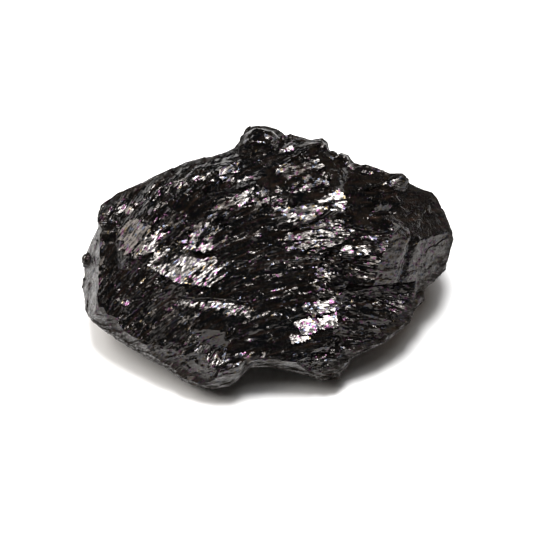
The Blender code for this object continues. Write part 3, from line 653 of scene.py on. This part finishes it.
def add(tree, kind, inputs=None, **settings):
    """Add a node: settings are its own, and inputs give a socket's value or the socket it comes from."""
    made = tree.nodes.new(kind)
    for name, value in settings.items():
        setattr(made, name, value)
    for name, value in (inputs or {}).items():
        if isinstance(value, bpy.types.NodeSocket):
            tree.links.new(value, made.inputs[name])
        else:
            made.inputs[name].default_value = value
    return made


def set_ramp(ramp, stops):
    """Give a colour ramp its stops: place and sRGB colour."""
    while len(ramp.elements) > 1:
        ramp.elements.remove(ramp.elements[-1])
    for place, code in stops:
        stop = ramp.elements[0] if place == stops[0][0] else ramp.elements.new(place)
        stop.position = place
        stop.color = linear(code)


# The sockets where a mix node takes the two colours that it mixes, and where it gives the result.
FIRST_COLOUR, SECOND_COLOUR, MIXED_COLOUR = 6, 7, 2

# How many cells each pattern has in a millimetre along the layers, across them and out of the rim, or in
# every direction. Hairlines are 2.5 mm long and a quarter of a millimetre apart, grit is 0.6 by 0.24 mm,
# streaks of film are 3.3 by 0.4 mm and streaks of wear 2 by 0.6 mm. Glints are 0.3 mm across, and dimples
# and patches of gloss 1.1 mm. The stone's own hairlines and grit are finer: these are as fine as shows.
HAIR_CELLS = (0.4, 4.2, 0.9)
GRIT_CELLS = (1.6, 4.2, 3.0)
FILM_CELLS = (0.30, 2.4, 0.8)
WEAR_CELLS = (0.5, 1.8, 1.1)
GLINT_CELLS = 3.2
DIMPLE_CELLS = 0.9
BLOTCH_CELLS = 0.9

# Heights of the hairlines, the grit and the dimples, in metres.
HAIR_HEIGHT = 0.00008
GRIT_HEIGHT = 0.00014
DIMPLE_HEIGHT = 0.00022

# Roughness of a clean break at both ends of its patches' noise, and of a rubbed edge. The rub and its painted
# shade are whole where their own noise is below the first value, and this share is left of them above the
# second.
GLOSS = (0.07, 0.20)
BLOTCH_RANGE = (0.35, 0.65)
MATT = 0.85
RUB_GAPS = (0.44, 0.60)
RUB_LEFT_IN_GAPS = 0.15

# The carbon is black under a rusty film, whose noise goes from bare stone to a thick streak. Rubbed edges
# mirror a painted dark brown shade; glints are mostly white, and a few are pink, violet, yellow or blue.
FILM = ((0.42, "#020304"), (0.54, "#050403"), (0.62, "#130d0a"), (0.74, "#2c1f18"))
GLINTS = ((0.0, "#fff7f2"), (0.78, "#f3a8e0"), (0.86, "#d6c4f4"), (0.90, "#ffe6b8"), (0.94, "#d4e0ff"))
RUBBED_SHADE_TINT = "#8f7c6a"

# Solid shungite's own index is nearer 1.9. Pores and dust in the break scatter part of the mirrored light,
# and this index leaves the share that comes back.
MIRROR_INDEX = 1.45


def elite_shungite():
    """Elite shungite, freshly broken: glassy black, with a metallic shine only where it mirrors a light."""
    material = bpy.data.materials.new("elite_shungite_fresh_break")
    material.use_nodes = True
    tree = material.node_tree
    surface = tree.nodes["Principled BSDF"]
    surface.inputs["IOR"].default_value = MIRROR_INDEX
    layers = add(tree, "ShaderNodeAttribute", attribute_name="layers").outputs["Vector"]

    # Hairlines run along the layers: sharp creases, where the noise passes its middle.
    hairs = add(tree, "ShaderNodeAttribute", attribute_name="hairs").outputs["Fac"]
    along = add(tree, "ShaderNodeVectorMath", {0: layers, 1: HAIR_CELLS}, operation="MULTIPLY").outputs[0]
    hair = add(tree, "ShaderNodeTexNoise", {"Vector": along, "Scale": 1.0, "Detail": 3.0, "Roughness": 0.6})
    off_mean = add(tree, "ShaderNodeMath", {0: hair.outputs["Fac"], 1: 0.5}, operation="SUBTRACT")
    ridged = add(tree, "ShaderNodeMath", {0: off_mean.outputs[0]}, operation="ABSOLUTE").outputs[0]
    lined = add(tree, "ShaderNodeBump", {"Height": ridged, "Distance": HAIR_HEIGHT, "Strength": hairs})

    # Grit is small facets, each tilted its own way, so that a few catch each light.
    grit = add(tree, "ShaderNodeAttribute", attribute_name="grit").outputs["Fac"]
    spot = add(tree, "ShaderNodeVectorMath", {0: layers, 1: GRIT_CELLS}, operation="MULTIPLY").outputs[0]
    cell = add(tree, "ShaderNodeTexVoronoi", {"Vector": spot, "Scale": 1.0})
    off = add(tree, "ShaderNodeVectorMath", {0: spot, 1: cell.outputs["Position"]}, operation="SUBTRACT")
    tilt = add(tree, "ShaderNodeVectorMath", {0: cell.outputs["Color"], 1: (0.5, 0.5, 0.5)},
               operation="SUBTRACT")
    facet = add(tree, "ShaderNodeVectorMath", {0: off.outputs[0], 1: tilt.outputs[0]},
                operation="DOT_PRODUCT").outputs["Value"]
    gritty = add(tree, "ShaderNodeBump", {
        "Height": facet, "Distance": GRIT_HEIGHT, "Strength": grit, "Normal": lined.outputs["Normal"]})

    # Shallow dimples about a millimetre across turn parts of a smooth face away from what it mirrors.
    dimple = add(tree, "ShaderNodeAttribute", attribute_name="dimple").outputs["Fac"]
    hollow = add(tree, "ShaderNodeTexNoise", {
        "Vector": layers, "Scale": DIMPLE_CELLS, "Detail": 5.0, "Roughness": 0.6}).outputs["Fac"]
    dimpled = add(tree, "ShaderNodeBump", {
        "Height": hollow, "Distance": DIMPLE_HEIGHT, "Strength": dimple, "Normal": gritty.outputs["Normal"]})
    tree.links.new(dimpled.outputs["Normal"], surface.inputs["Normal"])

    # The gloss comes and goes in patches, and the rub on the edges in streaks along the layers.
    blotch = add(tree, "ShaderNodeTexNoise", {
        "Vector": layers, "Scale": BLOTCH_CELLS, "Detail": 5.0, "Roughness": 0.7}).outputs["Fac"]
    rough = add(tree, "ShaderNodeMapRange", {
        "Value": blotch, "From Min": BLOTCH_RANGE[0], "From Max": BLOTCH_RANGE[1],
        "To Min": GLOSS[0], "To Max": GLOSS[1]}).outputs["Result"]
    rub_and_shade = add(tree, "ShaderNodeAttribute", attribute_name="rub_and_shade").outputs["Fac"]
    drawn = add(tree, "ShaderNodeVectorMath", {0: layers, 1: WEAR_CELLS}, operation="MULTIPLY").outputs[0]
    wear = add(tree, "ShaderNodeTexNoise", {
        "Vector": drawn, "Scale": 1.0, "Detail": 6.0, "Roughness": 0.7}).outputs["Fac"]
    left = add(tree, "ShaderNodeMapRange", {
        "Value": wear, "From Min": RUB_GAPS[0], "From Max": RUB_GAPS[1],
        "To Min": 1.0, "To Max": RUB_LEFT_IN_GAPS}).outputs["Result"]
    worn_and_shaded = add(tree, "ShaderNodeMath", {0: rub_and_shade, 1: left}, operation="MULTIPLY", use_clamp=True).outputs[0]
    dulled = add(tree, "ShaderNodeMix", {"Factor": worn_and_shaded, "A": rough, "B": MATT}).outputs["Result"]
    tree.links.new(dulled, surface.inputs["Roughness"])

    # A thin rusty film lies in streaks along the layers, thicker in some places than in others.
    streak = add(tree, "ShaderNodeVectorMath", {0: layers, 1: FILM_CELLS}, operation="MULTIPLY").outputs[0]
    film = add(tree, "ShaderNodeTexNoise", {
        "Vector": streak, "Scale": 1.0, "Detail": 6.0, "Roughness": 0.65}).outputs["Fac"]
    shade = add(tree, "ShaderNodeValToRGB", {"Fac": film})
    set_ramp(shade.color_ramp, FILM)
    tree.links.new(shade.outputs["Color"], surface.inputs["Base Color"])

    # The film is thin enough to colour single glints, as oil does on water, where it isn't rubbed off.
    spark = add(tree, "ShaderNodeTexVoronoi", {"Vector": layers, "Scale": GLINT_CELLS}).outputs["Color"]
    pick = add(tree, "ShaderNodeSeparateColor", {"Color": spark}).outputs[0]
    tint = add(tree, "ShaderNodeValToRGB", {"Fac": pick})
    tint.color_ramp.interpolation = "CONSTANT"
    set_ramp(tint.color_ramp, GLINTS)
    # Painted shade: on the rubbed edges the glints' tint turns dark brown, which dims what they mirror.
    glint_tint_with_edge_shade = add(tree, "ShaderNodeMix", {
        "Factor": worn_and_shaded, FIRST_COLOUR: tint.outputs["Color"], SECOND_COLOUR: linear(RUBBED_SHADE_TINT)},
        data_type="RGBA")
    tree.links.new(glint_tint_with_edge_shade.outputs[MIXED_COLOUR], surface.inputs["Specular Tint"])
    return material


nugget_mesh = thinned(fine_surface())
cut_seats(nugget_mesh)
store_patterns(nugget_mesh)
nugget_mesh.shade_smooth()
nugget_mesh.set_sharp_from_angle(angle=CREASE)
nugget_mesh.materials.append(elite_shungite())
nugget = bpy.data.objects.new("nugget", nugget_mesh)
bpy.context.scene.collection.objects.link(nugget)
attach(nugget, "root")
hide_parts("shungite_nugget")

# ---------------------------------------------------------------------------------------------
# Floor. A sheet of matt white paper that lies flat on a table and is wide enough to fill every view.
# It lies a hair below the nugget's three flats, so that they don't share a plane with it.
# ---------------------------------------------------------------------------------------------

FLOOR_HALF = 1.5
FLOOR_DROP = 0.00003
PAPER_WHITE = "#f6f6f6"
PAPER_ROUGHNESS = 0.9
floor_mesh = bpy.data.meshes.new("paper_floor")
floor_mesh.from_pydata(
    [(-FLOOR_HALF, -FLOOR_HALF, -FLOOR_DROP), (FLOOR_HALF, -FLOOR_HALF, -FLOOR_DROP),
     (FLOOR_HALF, FLOOR_HALF, -FLOOR_DROP), (-FLOOR_HALF, FLOOR_HALF, -FLOOR_DROP)],
    [], [(0, 1, 2, 3)])
paper = bpy.data.materials.new("matt_white_paper")
paper.use_nodes = True
paper.node_tree.nodes["Principled BSDF"].inputs["Base Color"].default_value = linear(PAPER_WHITE)
paper.node_tree.nodes["Principled BSDF"].inputs["Roughness"].default_value = PAPER_ROUGHNESS
floor_mesh.materials.append(paper)
floor = bpy.data.objects.new("floor", floor_mesh)
bpy.context.scene.collection.objects.link(floor)

# ---------------------------------------------------------------------------------------------
# Light. Two round soft boxes hang over the nugget, a wide one and a small, strong one, and a card throws
# light from the left. The dim room has one paler patch of wall, behind on the right, for the block to mirror.
# ---------------------------------------------------------------------------------------------

# Place in metres, width in metres, power in watts, and colour.
SOFT_BOXES = {
    "wide_box": ((-0.06, -0.10, 1.19), 0.80, 8.4, "#ffffff"),
    "small_box": ((0.0, -0.148, 1.15), 0.25, 16.0, "#ffffff"),
    "left_card": ((-0.449, -0.137, 0.884), 0.5, 6.5, "#fffaf4"),
}
PALE_WALL = (0.515, 0.72, 0.467)
WALLS = ((0.2, "#343230"), (0.82, "#343230"), (0.94, "#85776a"))

for name, (place, width, power, colour) in SOFT_BOXES.items():
    lamp = bpy.data.lights.new(name, "AREA")
    lamp.shape = "DISK"
    lamp.size = width
    lamp.energy = power
    lamp.color = linear(colour)[:3]
    holder = bpy.data.objects.new(name, lamp)
    holder.location = place
    holder.rotation_mode = "QUATERNION"
    holder.rotation_quaternion = (-Vector(place)).to_track_quat("-Z", "Y")
    bpy.context.scene.collection.objects.link(holder)

room = bpy.data.worlds.new("dim_room")
room.use_nodes = True
sky = add(room.node_tree, "ShaderNodeTexCoord").outputs["Generated"]
nearness = add(room.node_tree, "ShaderNodeVectorMath", {0: sky, 1: PALE_WALL},
               operation="DOT_PRODUCT").outputs["Value"]
share = add(room.node_tree, "ShaderNodeMapRange", {
    "Value": nearness, "From Min": 0.0, "From Max": 1.0}).outputs["Result"]
wall = add(room.node_tree, "ShaderNodeValToRGB", {"Fac": share})
set_ramp(wall.color_ramp, WALLS)
room.node_tree.links.new(wall.outputs["Color"], room.node_tree.nodes["Background"].inputs["Color"])
bpy.context.scene.world = room
bpy.context.scene.view_settings.view_transform = "Standard"

# ---------------------------------------------------------------------------------------------
# Camera. It looks straight at the rim's plane from 45 cm away, and a little below the nugget's heart.
# The view's width is given in millimetres at the heart.
# ---------------------------------------------------------------------------------------------

DISTANCE = 450.0
VIEW_WIDTH = 64.83
SENSOR = 36.0
OFF_CENTRE = 1.34
right, up, out = rim_axes()
aim = np.array(HEART) - up * OFF_CENTRE
camera = bpy.data.cameras.new("camera")
camera.sensor_width = SENSOR
camera.lens = SENSOR * DISTANCE / VIEW_WIDTH
camera_holder = bpy.data.objects.new("camera", camera)
camera_holder.location = (aim + out * DISTANCE) * MM
camera_holder.rotation_mode = "QUATERNION"
camera_holder.rotation_quaternion = Vector(-out).to_track_quat("-Z", "Y")
bpy.context.scene.collection.objects.link(camera_holder)
bpy.context.scene.camera = camera_holder
